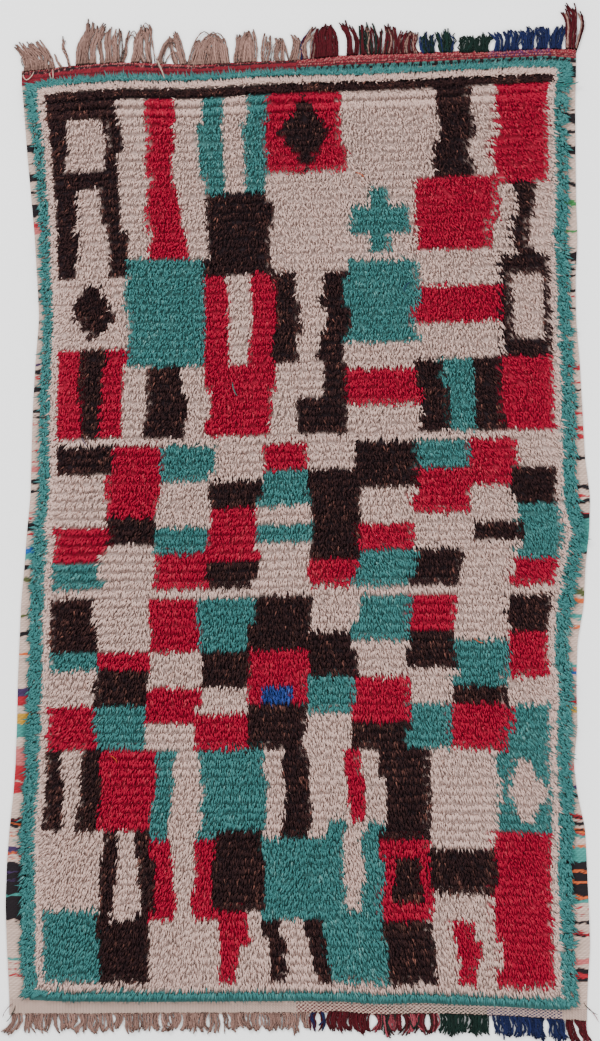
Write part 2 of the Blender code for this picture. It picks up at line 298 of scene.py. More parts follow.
# Wool colours as seen, red green blue out of 255: body, drift and odd fibres
WOOL = {
    "cream": ((193, 164, 154), (201, 173, 164), (166, 134, 123)),
    "brown": ((24, 11, 14), (30, 16, 23), (116, 74, 64)),
    "red": ((141, 2, 39), (160, 16, 50), (170, 50, 66)),
    "teal": ((46, 99, 99), (65, 117, 115), (94, 138, 134)),
    "blue": ((30, 48, 108), (40, 60, 120), (70, 92, 150)),
}
BED_WOOL = {"C": "cream", "D": "brown", "R": "red", "T": "teal", "U": "blue"}
YARN = {
    "b": (145, 113, 103), "d": (76, 2, 18), "g": (4, 36, 30), "n": (16, 30, 76),
    "p": (150, 64, 76), "w": (180, 150, 138), "t": (42, 110, 106), "o": (196, 84, 34),
}
# Painted shade of the fringe yarns: how far their dye darkens on their sides and undersides
YARN_SHADE = (0.30, 0.26, 0.25, 1.0)
WEFT = {
    "C": (206, 180, 167), "K": (24, 19, 25), "R": (168, 34, 48), "r": (192, 104, 104),
    "T": (66, 142, 136), "O": (205, 98, 52), "Y": (196, 150, 52), "G": (78, 86, 50),
    "g": (60, 128, 72), "B": (28, 92, 168), "N": (62, 44, 84),
}

# Weft colours of the bare selvedges from top to bottom, each letter with its height in mm
LEFT_WEFT = """K7 C15 K7 C18 K9 C84 K18 C24 K2 C18 K20 C18 K7 C24 K29 C11 R9 r18 C121 K7 C11 K7
C46 K3 C32 K2 C55 N3 C12 K9 C4 R5 C15 K18 C36 K8 C7 K3 C10 R4 C35 R3 C19 R5 C18 R4 C6 r18 C10
K12 C13 K9 C18 r2 C20 R3 C9 R3 C4 K23 C6 R3 C26 B15 T13 C9 K11 C19 G6 C73 G7 C29 K13 C35 O7 C70
N20 R18 C20 Y22 T31 C18 r40 R35 C2 R26 C55 K4 R2 K4 O2 K7 C9 R2 C7 O2 C7 T2 C13 N11 O4 R2 C5 R2
C4 O2 C6 K18 N2 K18 N2 K30 T3 K53 C84 T4 C4 R4 C9 R4 C11 R4 C90"""
RIGHT_WEFT = """K11 C4 K29 C66 K4 C7 K24 C13 K7 C26 K22 C59 K9 C32 g11 C54 g5 C33 K3 C10 K18 C11
K7 C11 K7 C25 K6 C9 R4 C20 K7 C119 R13 C23 R5 C13 K4 C32 K3 C12 R6 C24 R12 C6 R10 C36 K9 C55 K11
C12 R3 C4 K11 C20 R3 K10 T73 K4 C81 G13 C6 O11 C23 T11 C15 O5 C77 T9 r9 B9 C18 r9 C20 R18 C4 Y15
C110 r18 C29 N11 C7 K13 C35 R4 K4 R3 C4 K9 C5 O3 K5 O3 R4 T6 C18 O4 T31 K20 O4 K19 O6 K26 O6 K3
T7 C9 R2 C11 R2 C14 K9 C15 R7 K4 C50 r13 C9 K9 R9 K9 C90"""

# The field's patchwork, planned for this rug in sections: the widths of its columns in knots,
# then bands from top to bottom, each with its rows of knots. A cell is a ground wool and, where
# it has a motif, the motif's wool and kind: V upright bar, P two side bars, O lozenge, H level
# bar, S step, X cross, B block.
Section = namedtuple("Section", "widths bands")
FIELD_PLAN = [
    Section((20, 24, 19, 22, 21, 24, 16), [
        (10, "DCB CRV TCV RDO C   DCP R  "),
        (9, "CDP RCP D   C   CTX R   CDV"),
        (10, "CDO T   RCV DCV T   CRH DCB"),
        (9, "RDV DCP R   CDS CRH DTV R  "),
    ]),
    Section((146,), [(1, "C")]),
    Section((15, 14, 16, 14, 15, 14, 16, 15, 14, 13), [
        (4, "D   R   T   C   R   C   D   T   R   C  "),
        (4, "C   R   C   D   T   D   C   R   C   D  "),
        (4, "R   D   T   R   CTH D   R   C   D   T  "),
        (4, "T   C   R   D   C   R   T   D   C   R  "),
    ]),
    Section((146,), [(1, "C")]),
    Section((14, 16, 14, 15, 16, 14, 15, 14, 16, 12), [
        (5, "D   C   R   T   D   C   T   R   C   D  "),
        (4, "T   R   C   D   R   D   C   D   T   R  "),
        (4, "C   D   R   C   RUB T   R   C   D   C  "),
        (4, "R   T   C   R   D   C   D   T   R   T  "),
    ]),
    Section((17, 15, 18, 14, 17, 16, 15, 18, 16), [
        (9, "DCV R   CTP T   DCP CRV D   C   TCO"),
        (9, "C   CDP RCV D   T   TCV RDB CDH R  "),
        (8, "T   D   C   RCS CDP T   D   CRV R  "),
    ]),
]


def linear(colour):
    """Scene-linear values of a colour given out of 255."""
    values = np.asarray(colour, float) / 255.0
    return np.where(values <= 0.04045, values / 12.92, ((values + 0.055) / 1.055) ** 2.4)


def read_column(table, key, column, at):
    """Values of a column at places between the rows, with the corners softened."""
    order = sorted(table, key=lambda row: getattr(row, key))
    places = [getattr(row, key) for row in order]
    values = [getattr(row, column) for row in order]
    at = np.asarray(at, float)
    near = [np.interp(at + step, places, values) for step in (-SOFTENING, 0.0, SOFTENING)]
    return np.mean(near, axis=0)


def seam_line(x, down):
    """Y at a share of the way from the top seam to the bottom one."""
    top = read_column(TOP_BAND, "x", "seam", x)
    bottom = read_column(BOTTOM_BAND, "x", "seam", x)
    return top + (bottom - top) * down


def field_length():
    return seam_line(0.0, 0.0) - seam_line(0.0, 1.0)


def rim_share(across):
    """0 over most of the field, rising to 1 at its side rims; across runs from -1 to 1."""
    return np.clip((np.abs(across) - RIM_START) / RIM_WIDTH, 0.0, 1.0)


def outline_at(down):
    """Side edges and bare margins at rows of the field, before the shift to the frame."""
    sides = [seam_line(EDGES[0].left, down), seam_line(EDGES[0].right, down)]
    columns = ("left", "right", "bare_left", "bare_right")
    return [read_column(EDGES, "y", column, y) for column, y in zip(columns, sides * 2)]


def frame_shift():
    """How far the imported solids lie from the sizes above, which are not centred."""
    down = np.linspace(0.0, 1.0, 400)
    _, right, _, _ = outline_at(down)
    seam = seam_line(np.linspace(-0.61, 0.60, 400), 0.0)
    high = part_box("pile_field")[1]
    return np.array([high.x - right.max(), high.y - seam.max(), 0.0])


SHIFT = frame_shift()


def placed(x, y, z):
    """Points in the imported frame."""
    return np.stack([x, y, z], axis=-1) + SHIFT


def chance(*shape):
    """Random numbers of mean 0 and deviation 1."""
    return rng.normal(0.0, 1.0, shape)


def nearest(values, count):
    """The nearest whole numbers, from 0 to one less than the count."""
    return np.clip(np.round(values).astype(int), 0, count - 1)


def points_of(mesh):
    points = np.empty(len(mesh.vertices) * 3)
    mesh.vertices.foreach_get("co", points)
    return points.reshape(-1, 3)


# Shader building

class Value:
    """A socket of a material that can be used in Python sums."""

    def __init__(self, finish, socket):
        self.finish = finish
        self.socket = socket

    def math(self, operation, first, second):
        return self.finish.node("ShaderNodeMath", {"operation": operation}, {0: first, 1: second})

    def __add__(self, other):
        return self.math("ADD", self, other)

    def __radd__(self, other):
        return self.math("ADD", other, self)

    def __sub__(self, other):
        return self.math("SUBTRACT", self, other)

    def __rsub__(self, other):
        return self.math("SUBTRACT", other, self)

    def __mul__(self, other):
        return self.math("MULTIPLY", self, other)

    def __rmul__(self, other):
        return self.math("MULTIPLY", other, self)

    def __pow__(self, other):
        return self.math("POWER", self, other)


class Finish:
    """A material with one Principled shader, built node by node."""

    def __init__(self, name, **constants):
        self.material = bpy.data.materials.new(name)
        self.material.use_nodes = True
        self.tree = self.material.node_tree
        self.shader = self.tree.nodes["Principled BSDF"]
        for socket, value in constants.items():
            self.shader.inputs[socket.replace("_", " ")].default_value = value

    def node(self, kind, settings=None, inputs=None, output=0):
        """Add a node, set what it is first, then give its sockets values or links."""
        made = self.tree.nodes.new(kind)
        for key, value in (settings or {}).items():
            if key == "stops":
                ramp = made.color_ramp
                ramp.elements[0].position, ramp.elements[0].color = value[0]
                ramp.elements[1].position, ramp.elements[1].color = value[-1]
                for place, colour in value[1:-1]:
                    ramp.elements.new(place).color = colour
            else:
                setattr(made, key, value)
        for socket, value in (inputs or {}).items():
            if isinstance(value, Value):
                self.tree.links.new(value.socket, made.inputs[socket])
            else:
                made.inputs[socket].default_value = value
        return Value(self, made.outputs[output])

    def attribute(self, name, output="Fac"):
        return self.node("ShaderNodeAttribute", {"attribute_name": name}, output=output)

    def noise(self, scale, detail=2.0, roughness=0.5, stretch=(1.0, 1.0, 1.0)):
        place = self.node("ShaderNodeTexCoord", output="Object")
        place = self.node("ShaderNodeMapping", None, {"Vector": place, "Scale": stretch})
        inputs = {"Vector": place, "Scale": scale, "Detail": detail, "Roughness": roughness}
        return self.node("ShaderNodeTexNoise", None, inputs)

    def mix(self, factor, first, second, blend="MIX"):
        settings = {"data_type": "RGBA", "blend_type": blend}
        return self.node("ShaderNodeMix", settings, {0: factor, 6: first, 7: second}, 2)

    def feed(self, socket, value):
        self.tree.links.new(value.socket, self.shader.inputs[socket])

    def bump(self, height, distance, strength=1.0):
        inputs = {"Strength": strength, "Distance": distance, "Height": height}
        self.feed("Normal", self.node("ShaderNodeBump", None, inputs))


def colour4(colour, factor=1.0):
    return (*np.clip(linear(colour) * factor, 0.0, 1.0), 1.0)


def pile_wool(name, colour, drift, streak):
    """Knotted wool: its dye drifts over the rug, each strand has its own tone, and some are
    of another fibre."""
    wool = Finish(name, Roughness=0.9, Specular_IOR_Level=0.12)
    tone = wool.attribute("tone")
    abrash = wool.noise(5.0, 3.0, 0.6, (0.6, 2.2, 1.0))
    fibre = wool.noise(320.0, 2.0, 0.6, (1.0, 0.3, 1.0))
    body = wool.mix(tone, colour4(colour, 0.80), colour4(colour, 1.20))
    body = wool.mix(abrash * 0.55, body, colour4(drift))
    body = wool.mix((fibre ** 3.0) * 0.35 + tone ** 6.0, body, colour4(streak))
    wool.feed("Base Color", body)
    return wool.material


def woven_wool(name, relief, shade=(0.45, 0.42, 0.40, 1.0)):
    """Flat weave or fringe yarn: dyed by its own colour attribute, with painted shade that darkens
    it between floats and on each yarn's lower sides, where its along attribute is low.
    """
    wool = Finish(name, Roughness=0.9, Specular_IOR_Level=0.15)
    dye = wool.attribute("dye", "Color")
    lift_and_shade = wool.attribute("along")
    grain = wool.noise(700.0, 3.0, 0.65)
    worn = wool.noise(14.0, 3.0, 0.6)
    # Painted shade: the dye darkened by the shade factor, shown where the along share is low; the
    # random worn patches below also darken towards it
    shade_and_wear_colour = wool.mix(1.0, dye, shade, "MULTIPLY")
    body = wool.mix(lift_and_shade, shade_and_wear_colour, dye)
    pale = wool.mix(0.12, body, colour4((205, 190, 180)))
    body = wool.mix((grain ** 2.0) * 0.25, body, pale)
    body = wool.mix(worn * 0.3, body, shade_and_wear_colour)
    wool.feed("Base Color", body)
    if relief:
        wool.bump(grain, relief, 0.5)
    return wool.material


# Mesh building

def bare_selection():
    """Leave edit mode, with nothing selected."""
    if bpy.context.object and bpy.context.object.mode != "OBJECT":
        bpy.ops.object.mode_set(mode="OBJECT")
    bpy.ops.object.select_all(action="DESELECT")


def select_faces_at(mesh, height):
    """Leave only the faces selected whose points all lie at this height."""
    bpy.ops.mesh.select_all(action="DESELECT")
    bpy.ops.object.mode_set(mode="OBJECT")
    for face in mesh.polygons:
        face.select = all(
            abs(mesh.vertices[v].co.z - height) < 1e-5 for v in face.vertices
        )
    bpy.ops.object.mode_set(mode="EDIT")


def model_strand(sides, steps, tipped, rooted):
    """One strand of unit height and radius, drawn up from a disc: steps are rows of
    (height, radius). Tipped and rooted ones end in a point there."""
    bare_selection()
    first_height = steps[0][0]
    bpy.ops.mesh.primitive_cylinder_add(
        vertices=sides, radius=1.0, depth=first_height, location=(0.0, 0.0, first_height / 2)
    )
    strand = bpy.context.object
    bpy.ops.object.transform_apply(location=True)
    bpy.ops.object.mode_set(mode="EDIT")
    height = first_height
    radius = 1.0
    for place, (next_height, next_radius) in enumerate(steps):
        select_faces_at(strand.data, height)
        if place:
            move = {"value": (0.0, 0.0, next_height - height)}
            bpy.ops.mesh.extrude_region_move(TRANSFORM_OT_translate=move)
        share = next_radius / radius
        bpy.ops.transform.resize(value=(share, share, 1.0))
        height = next_height
        radius = next_radius
    if tipped:
        bpy.ops.mesh.merge(type="CENTER")
    if rooted:
        select_faces_at(strand.data, 0.0)
        bpy.ops.mesh.merge(type="CENTER")
    bpy.ops.object.mode_set(mode="OBJECT")
    points = points_of(strand.data)
    faces = [list(face.vertices) for face in strand.data.polygons]
    bpy.data.objects.remove(strand, do_unlink=True)
    return points, faces


def joined_mesh(name, points, faces, material, values):
    """One mesh from many copies: points is copies by corners by 3, faces are one copy's."""
    copies, corners, _ = points.shape
    loops = np.concatenate([np.array(face) for face in faces])
    sizes = np.array([len(face) for face in faces])
    offsets = np.arange(copies)[:, None] * corners
    all_loops = (loops[None, :] + offsets).ravel()
    all_sizes = np.tile(sizes, copies)
    mesh = bpy.data.meshes.new(name)
    mesh.vertices.add(copies * corners)
    mesh.vertices.foreach_set("co", points.astype(np.float32).ravel())
    mesh.loops.add(len(all_loops))
    mesh.loops.foreach_set("vertex_index", all_loops.astype(np.int32))
    mesh.polygons.add(len(all_sizes))
    starts = np.concatenate([[0], np.cumsum(all_sizes)[:-1]])
    mesh.polygons.foreach_set("loop_start", starts.astype(np.int32))
    mesh.update(calc_edges=True)
    mesh.validate()
    mesh.shade_smooth()
    made = bpy.data.objects.new(name, mesh)
    bpy.context.scene.collection.objects.link(made)
    dress(made, material, values)
    return made


def dress(made, material, values):
    """Give a finished piece its material, attributes and flat map."""
    mesh = made.data
    mesh.materials.clear()
    mesh.materials.append(material)
    for key, value in values.items():
        kind = "FLOAT_COLOR" if value.ndim == 2 else "FLOAT"
        layer = mesh.attributes.new(key, kind, "POINT")
        layer.data.foreach_set("color" if value.ndim == 2 else "value",
                               value.astype(np.float32).ravel())
    flat = points_of(mesh)[:, :2]
    low, high = flat.min(axis=0), flat.max(axis=0)
    place = (flat - low) / (high - low)
    index = np.empty(len(mesh.loops), np.int32)
    mesh.loops.foreach_get("vertex_index", index)
    layer = mesh.uv_layers.new(name="OFBake")
    layer.data.foreach_set("uv", place[index].astype(np.float32).ravel())


def with_alpha(colours):
    return np.concatenate([colours, np.ones((*colours.shape[:-1], 1))], axis=-1)


# The knotted pile

def motif(code, across, down):
    """Wools of the knots in one row of a cell, at places in it from 0 to 1."""
    if len(code) < 3:
        return np.full(len(across), code[0])
    side = np.abs(across - 0.5)
    drop = abs(down - 0.5)
    inside = {
        "V": (side < 0.19 - 0.05 * down) & (drop < 0.46),
        "P": side > 0.19 + 0.05 * down,
        "O": side / 0.36 + drop / 0.46 < 1.0,
        "H": np.full(len(across), drop < 0.20),
        "S": across > (0.66 if down < 0.5 else 0.33),
        "X": ((side < 0.13) | (drop < 0.15)) & (side < 0.40) & (drop < 0.42),
        "B": (side < 0.27) & (drop < 0.32),
    }[code[2]]
    return np.where(inside, code[1], code[0])


def section_letters(section, plan_rng):
    """Wool letters of a section's knots. Its columns' edges waver by a knot, and its bands
    start a little higher or lower from column to column."""
    codes = [[text[i:i + 4].strip() for i in range(0, len(text), 4)] for _, text in section.bands]
    tops = np.concatenate([[0], np.cumsum([rows for rows, _ in section.bands])])
    sides = np.concatenate([[0], np.cumsum(section.widths)])
    reach = CELL_SHIFT_ROWS
    shift = plan_rng.integers(-reach, reach + 1, (len(tops), len(section.widths)))
    shift[[0, -1]] = 0
    reach = EDGE_SHIFT_KNOTS
    waver = plan_rng.integers(-reach, reach + 1, (tops[-1] // 3 + 1, len(sides)))
    waver[:, [0, -1]] = 0
    letters = np.full((tops[-1], sides[-1]), "C")
    for row in range(tops[-1]):
        edges = sides + waver[row // 3]
        for column, (first, last) in enumerate(zip(edges[:-1], edges[1:])):
            starts = tops + shift[:, column]
            band = np.searchsorted(starts, row, side="right") - 1
            down = (row + 0.5 - starts[band]) / (starts[band + 1] - starts[band])
            across = (np.arange(last - first) + 0.5) / (last - first)
            letters[row, first:last] = motif(codes[band][column], across, down)
    return letters


def knot_letters():
    """Wool letter of every knot, rows by knots: the patchwork, then the border round it."""
    plan_rng = np.random.default_rng(PLAN_SEED)
    letters = np.full((ROWS, KNOTS), "C")
    letters[TOP_BORDER_ROWS - 1, BORDER_KNOTS:-BORDER_KNOTS] = "D"
    row = TOP_BORDER_ROWS
    for section in FIELD_PLAN:
        part = section_letters(section, plan_rng)
        letters[row:row + len(part), BORDER_KNOTS:-BORDER_KNOTS] = part
        row += len(part)
    letters[ROWS // 2:, BORDER_KNOTS] = "C"
    letters[ROWS // 2:, :TEAL_KNOTS + 1] = "T"
    letters[:, :TEAL_KNOTS] = "T"
    letters[TOP_BORDER_ROWS:, -BORDER_KNOTS - 1] = "C"
    letters[:, -TEAL_KNOTS - 1:] = "T"
    letters[[0, -1]] = "T"
    return letters


def smooth_field(size, seed):
    """A slowly changing random field over rows and knots, about -1 to 1."""
    coarse = np.random.default_rng(seed).uniform(-1.0, 1.0, (size, size))
    rows = np.linspace(0, size - 1, ROWS)
    knots = np.linspace(0, size - 1, KNOTS)
    by_row = np.array([np.interp(rows, np.arange(size), coarse[:, k]) for k in range(size)])
    return np.array([np.interp(knots, np.arange(size), by_row[:, r]) for r in range(ROWS)])


def by_row(curve):
    """A column with a value for each row, read off one of the curves above."""
    return np.interp(np.arange(ROWS), *curve)[:, None]


def knot_places():
    """Where each knot is tied, and which way and how far its strands lie."""
    length = field_length()
    even_rows = np.linspace(FIRST_ROOTS[-1], length - LAST_ROOT, ROWS - len(FIRST_ROOTS) + 1)
    down = np.concatenate([FIRST_ROOTS[:-1], even_rows]) / length
    left, right, bare_left, bare_right = outline_at(down)
    left = left + bare_left + ROOT_INSET
    right = right - bare_right - ROOT_INSET
    share = (np.arange(KNOTS) + 0.5) / KNOTS
    x = left[:, None] + (right - left)[:, None] * share
    turn = TURN_SLOW * smooth_field(9, 7) + TURN_QUICK * smooth_field(34, 8)
    across = share * 2 - 1
    rim = rim_share(across)
    rim_turn = np.where(across < 0, TURN_LEFT_RIM, TURN_RIGHT_RIM) * rim * rim * (3 - 2 * rim)
    turn = turn + np.sign(across) * (TURN_SIDE * np.abs(across) + rim_turn)
    sides = (np.sign(across) > 0).astype(int)
    turn = turn + TURN_RIM_ROW * rim * chance(ROWS, 2)[:, sides]
    wild = by_row(WILD_BY_ROW)
    turn = turn + TURN_KNOT * wild * chance(ROWS, KNOTS)
    drop = RIGHT_DROP * np.clip((x + 0.1) / 0.2, 0.0, 1.0)
    drop = drop * np.clip(1.0 - np.arange(ROWS) / DROP_ROWS, 0.0, 1.0)[:, None]
    places = {
        "x": x,
        "down": down[:, None] + drop / length,
        "pitch": (right - left)[:, None] / KNOTS,
        "turn": turn,
        "wild": wild,
        "mess": (0.85 + 0.35 * smooth_field(16, 5)) * by_row(MESS_BY_ROW) + 0.5 * rim,
        "pull": by_row(PULL_BY_ROW),
        "reach": REACH * by_row(FALL_BY_ROW),
        "row_pitch": even_rows[1] - even_rows[0],
        "rim": rim,
        "swell": smooth_field(14, 9),
        "tone": 0.5 + 0.10 * chance(ROWS, KNOTS) + 0.10 * smooth_field(22, 6),
    }
    return {key: np.broadcast_to(value, (ROWS, KNOTS)) for key, value in places.items()}


def strands(knots):
    """Strands of every knot: root, reach, size and tone, each copies by rows by knots. A strand
    is moved up or down from its row, and rows_down is where that puts its tip."""
    shape = (LANES, *knots["x"].shape)

    def uneven(size):
        return size * chance(*shape)

    def scatter(size):
        return size * knots["mess"] * rng.uniform(-1.0, 1.0, shape)

    lane = (np.arange(LANES)[:, None, None] + 0.5) / LANES * 2 - 1
    loose = np.clip((0.8 - np.abs(knots["pull"])) / 0.35, 0.0, 1.0)
    slot = lane + uneven(0.12)
    turn = knots["turn"] + uneven(0.27) * (knots["wild"] + 0.4 * knots["rim"])
    pull = knots["pull"] + uneven(LOOSE_LEAN) * loose
    near = 1.0 - (1.0 - RIM_REACH) * knots["rim"]
    spread = scatter(REACH_UNEVEN)
    reach_x = near * (knots["reach"] + spread) * np.sin(turn)
    reach_y = -near * (knots["reach"] * pull + spread) * np.cos(turn)
    reach = np.hypot(reach_x, reach_y)
    x = knots["x"] + slot * knots["pitch"] * 0.5 + uneven(0.0004)
    moved = scatter(ROOT_SCATTER)
    y = seam_line(x, knots["down"]) + moved
    tip_moved = moved + reach_y + near * knots["reach"] * knots["pull"] * np.cos(knots["turn"])
    height = PILE_TOP * (1.0 + 0.05 * knots["swell"] + uneven(0.05)) - 4.2 * reach ** 2
    height = height * (1.0 - RIM_FALL * knots["rim"])
    return {
        "x": x,
        "y": y,
        "rows_down": uneven(EDGE_UNEVEN) - (1.0 - loose) * tip_moved / knots["row_pitch"],
        "reach_x": reach_x,
        "reach_y": reach_y,
        "height": np.maximum(height, PILE_LEAST),
        "droop": (0.0016 - 0.14 * reach) * (1.0 - knots["rim"]),
        "width": STRAND_WIDTH * (1.0 + 0.25 * knots["rim"] + uneven(0.12)),
        "curl": uneven(0.0011),
        "tone": np.clip(knots["tone"] + uneven(0.16), 0.0, 1.0),
    }


def bend_strands(base, roots):
    """Copies of the modelled strand, drawn up from the ground and over to where they lie."""
    ring = base[:, 2].copy()
    part = {key: value[:, None] for key, value in roots.items()}
    along = ring[None, :]
    reach = np.hypot(part["reach_x"], part["reach_y"]) + 1e-6
    ahead_x, ahead_y = part["reach_x"] / reach, part["reach_y"] / reach
    radius = part["width"] / STRAND_ROUND
    gone = reach * along ** STRAND_LEAN
    side = radius * base[None, :, 0] + part["curl"] * np.sin(pi * along * 1.5)
    x = part["x"] + ahead_x * gone - ahead_y * side
    y = part["y"] + ahead_y * gone + ahead_x * side
    crest = np.minimum(along / STRAND_CREST, 1.0) * (part["height"] - ROOT_HEIGHT)
    tip = np.maximum(along - STRAND_CREST, 0.0) / (1.0 - STRAND_CREST) * part["droop"]
    z = ROOT_HEIGHT + crest + tip + 0.8 * radius * base[None, :, 1]
    return placed(x, y, z)


def make_bed(knots, letters):
    """The knots' own collars: low ridges in each knot's wool, from which the strands rise, with
    painted shade under the strands and deeper in the grooves.
    """
    made, across, down_index = add_grid("knot_bed", BED_COLUMNS, 2 * ROWS)
    row = down_index / 2.0 - 0.5
    near_row = nearest(row, ROWS)
    near_knot = np.clip(across * KNOTS // BED_COLUMNS, 0, KNOTS - 1)
    share = (near_knot + 0.5) / KNOTS * 2 - 1
    inward = rim_share(share) * np.sign(share) * BED_SHIFT
    near_knot = nearest(near_knot - inward, KNOTS)
    left = np.interp(row, np.arange(ROWS), knots["x"][:, 0] + BED_INSET)
    right = np.interp(row, np.arange(ROWS), knots["x"][:, -1] - BED_INSET)
    down = np.interp(row, np.arange(ROWS), knots["down"][:, 0])
    length = field_length()
    end = np.clip(row - ROWS + 1.0, 0.0, 0.5) * 2 * BED_END
    down = down + (end - np.clip(-row, 0.0, 0.5) * 2 * BED_START) / length
    x = left + (right - left) * across / BED_COLUMNS
    y = seam_line(x, down)
    crest = down_index % 2
    z = BED_GROOVE + (BED_CREST - BED_GROOVE) * crest + 0.0008 * np.sin(across * 2.1 + row)
    sides = (across == 0) | (across == BED_COLUMNS)
    z[sides | (down_index == 0) | (down_index == 2 * ROWS)] = WEAVE_THICK
    # Painted shade under the strands: the knots' wool darkened by BED_SHADE
    colours = BED_SHADE * np.array([linear(WOOL[BED_WOOL[letter]][1])
                                    for letter in letters[near_row, near_knot]])
    wool = woven_wool("knot_bed_wool", 0.002)
    # Painted shade darkens the grooves between the crests
    return finish_sheet(made, (x, y, z), colours, 0.6 + 0.4 * crest, wool)


def make_pile():
    """Every strand of the pile, one piece for each wool and the cream in three."""
    steps = [(STRAND_CREST, 1.0), (1.0, STRAND_TIP)]
    base, faces = model_strand(STRAND_SIDES, steps, True, True)
    knots = knot_places()
    grid = knot_letters()
    row_of, knot_of = np.indices((ROWS, KNOTS))
    parts = [np.s_[:, :], *FILLED]
    sets = [strands({key: value[part] for key, value in knots.items()}) for part in parts]
    roots = {key: np.concatenate([part[key].ravel() for part in sets]) for key in sets[0]}
    rows, columns = (np.concatenate([np.tile(index[part].ravel(), LANES) for part in parts])
                     for index in (row_of, knot_of))
    letters = grid[nearest(rows + roots["rows_down"], ROWS), columns]
    points = bend_strands(base, roots)
    tone = np.repeat(roots["tone"][:, None], len(base), 1)
    third = rows * 3 // ROWS
    cuts = [("pile_cream_" + name, (letters == "C") & (third == place))
            for place, name in enumerate(("upper", "middle", "lower"))]
    cuts += [("pile_" + name, letters == letter)
             for letter, name in (("D", "brown"), ("R", "red"), ("T", "teal"), ("U", "blue"))]
    wools = {name: pile_wool(name + "_wool", *WOOL[name]) for name in WOOL}
    made = [make_bed(knots, grid)]
    for name, chosen in cuts:
        values = {"tone": tone[chosen].ravel()}
        wool = wools[name.split("_")[1]]
        made.append(joined_mesh(name, points[chosen], faces, wool, values))
    return made


# The flat-woven ground with its bare selvedges

def weft_colours(chart, heights):
    """Colour of the selvedge at heights in metres below its top end."""
    words = chart.split()
    ends = np.cumsum([float(word[1:]) for word in words]) / 1000.0
    colours = np.array([linear(WEFT[word[0]]) for word in words])
    return colours[np.clip(np.searchsorted(ends, heights), 0, len(words) - 1)]


def add_grid(name, columns, rows):
    """A grid of squares, with the column and the row of each of its points."""
    bare_selection()
    bpy.ops.mesh.primitive_grid_add(x_subdivisions=columns, y_subdivisions=rows, size=2.0)
    made = bpy.context.object
    made.name = name
    made.data.name = name
    points = points_of(made.data)
    across = np.round((points[:, 0] + 1.0) / 2.0 * columns).astype(int)
    down = np.round((1.0 - points[:, 1]) / 2.0 * rows).astype(int)
    return made, across, down


def close_sheet(made, points):
    """Put the top in place, draw its rim down to just over the floor and close it there with
    one flat face."""
    made.data.vertices.foreach_set("co", points.astype(np.float32).ravel())
    made.data.update()
    bpy.ops.object.mode_set(mode="EDIT")
    bpy.ops.mesh.select_mode(type="EDGE")
    bpy.ops.mesh.select_all(action="SELECT")
    bpy.ops.mesh.region_to_loop()
    bpy.ops.mesh.extrude_edges_move()
    bpy.ops.object.mode_set(mode="OBJECT")
    rim = [v for v in made.data.vertices if v.select]
    for vertex in rim:
        vertex.co.z = CLEARANCE
    bpy.ops.object.mode_set(mode="EDIT")
    bpy.ops.mesh.edge_face_add()
    bpy.ops.mesh.select_all(action="SELECT")
    bpy.ops.mesh.normals_make_consistent(inside=False)
    bpy.ops.mesh.select_mode(type="VERT")
    bpy.ops.object.mode_set(mode="OBJECT")
    bpy.ops.object.shade_smooth_by_angle(angle=radians(50))


def pad_to(mesh, values):
    """Lengthen point values for the rim points that were added, with the mean of them all."""
    extra = len(mesh.vertices) - len(values)
    filler = np.repeat(values.mean(axis=0, keepdims=True), extra, axis=0)
    return np.concatenate([values, filler])


def finish_sheet(made, place, colours, lift_and_shade, wool):
    """Close a sheet whose top points lie at this place, and dress it."""
    close_sheet(made, placed(*place))
    # The along attribute carries the share that sets the painted shade in the wool
    values = {"dye": with_alpha(np.clip(pad_to(made.data, colours), 0, 1)),
              "along": pad_to(made.data, lift_and_shade)}
    dress(made, wool, values)
    return made


def make_ground():
    """The flat weave under the pile, with its coloured weft where the selvedges are bare."""
    columns = 2 * MARGIN_COLUMNS + 1
    made, across, down_index = add_grid("ground_weave", columns, GROUND_ROWS)
    length = field_length()
    under = (BAND_UNDER + CLEARANCE) / length
    down = under + (1.0 - 2.0 * under) * down_index / GROUND_ROWS
    left, right, _, _ = outline_at(down)
    margin = MARGIN_WIDTH / MARGIN_COLUMNS
    x = np.where(across <= MARGIN_COLUMNS, left + across * margin,
                 right - (columns - across) * margin)
    y = seam_line(x, down)
    over = (down_index // 2 + across) % 2
    crest = down_index % 2
    # Raised floats stand higher, and the same share paints shade on the picks between and under
    # them
    lift_and_shade = np.clip(0.35 * crest + 0.65 * over * crest + 0.25 * (1 - crest), 0.0, 1.0)
    wave = 0.0004 * np.sin(down_index * 0.11) + 0.0004 * np.sin(down_index * 0.037 + across)
    z = WEAVE_THICK - WEAVE_DIP + 0.0012 * lift_and_shade + wave
    stripe_wave = 0.0012 * chance(len(x)) + 0.0016 * np.sin(x * 150.0 + down * 300.0)
    fallen = np.round((seam_line(x, 0.0) - y + stripe_wave) / STRIPE_STEP) * STRIPE_STEP
    colours = np.where((across < columns / 2)[:, None],
                       weft_colours(LEFT_WEFT, fallen), weft_colours(RIGHT_WEFT, fallen))
    hidden = (across >= MARGIN_COLUMNS) & (across <= columns - MARGIN_COLUMNS)
    colours[hidden] = linear(WOOL["cream"][0])
    colours = colours * (1.0 + 0.08 * chance(GROUND_ROWS + 1)[down_index, None])
    return finish_sheet(made, (x, y, z), colours, lift_and_shade, woven_wool("selvedge_weave", 0.0004))


# The end bands

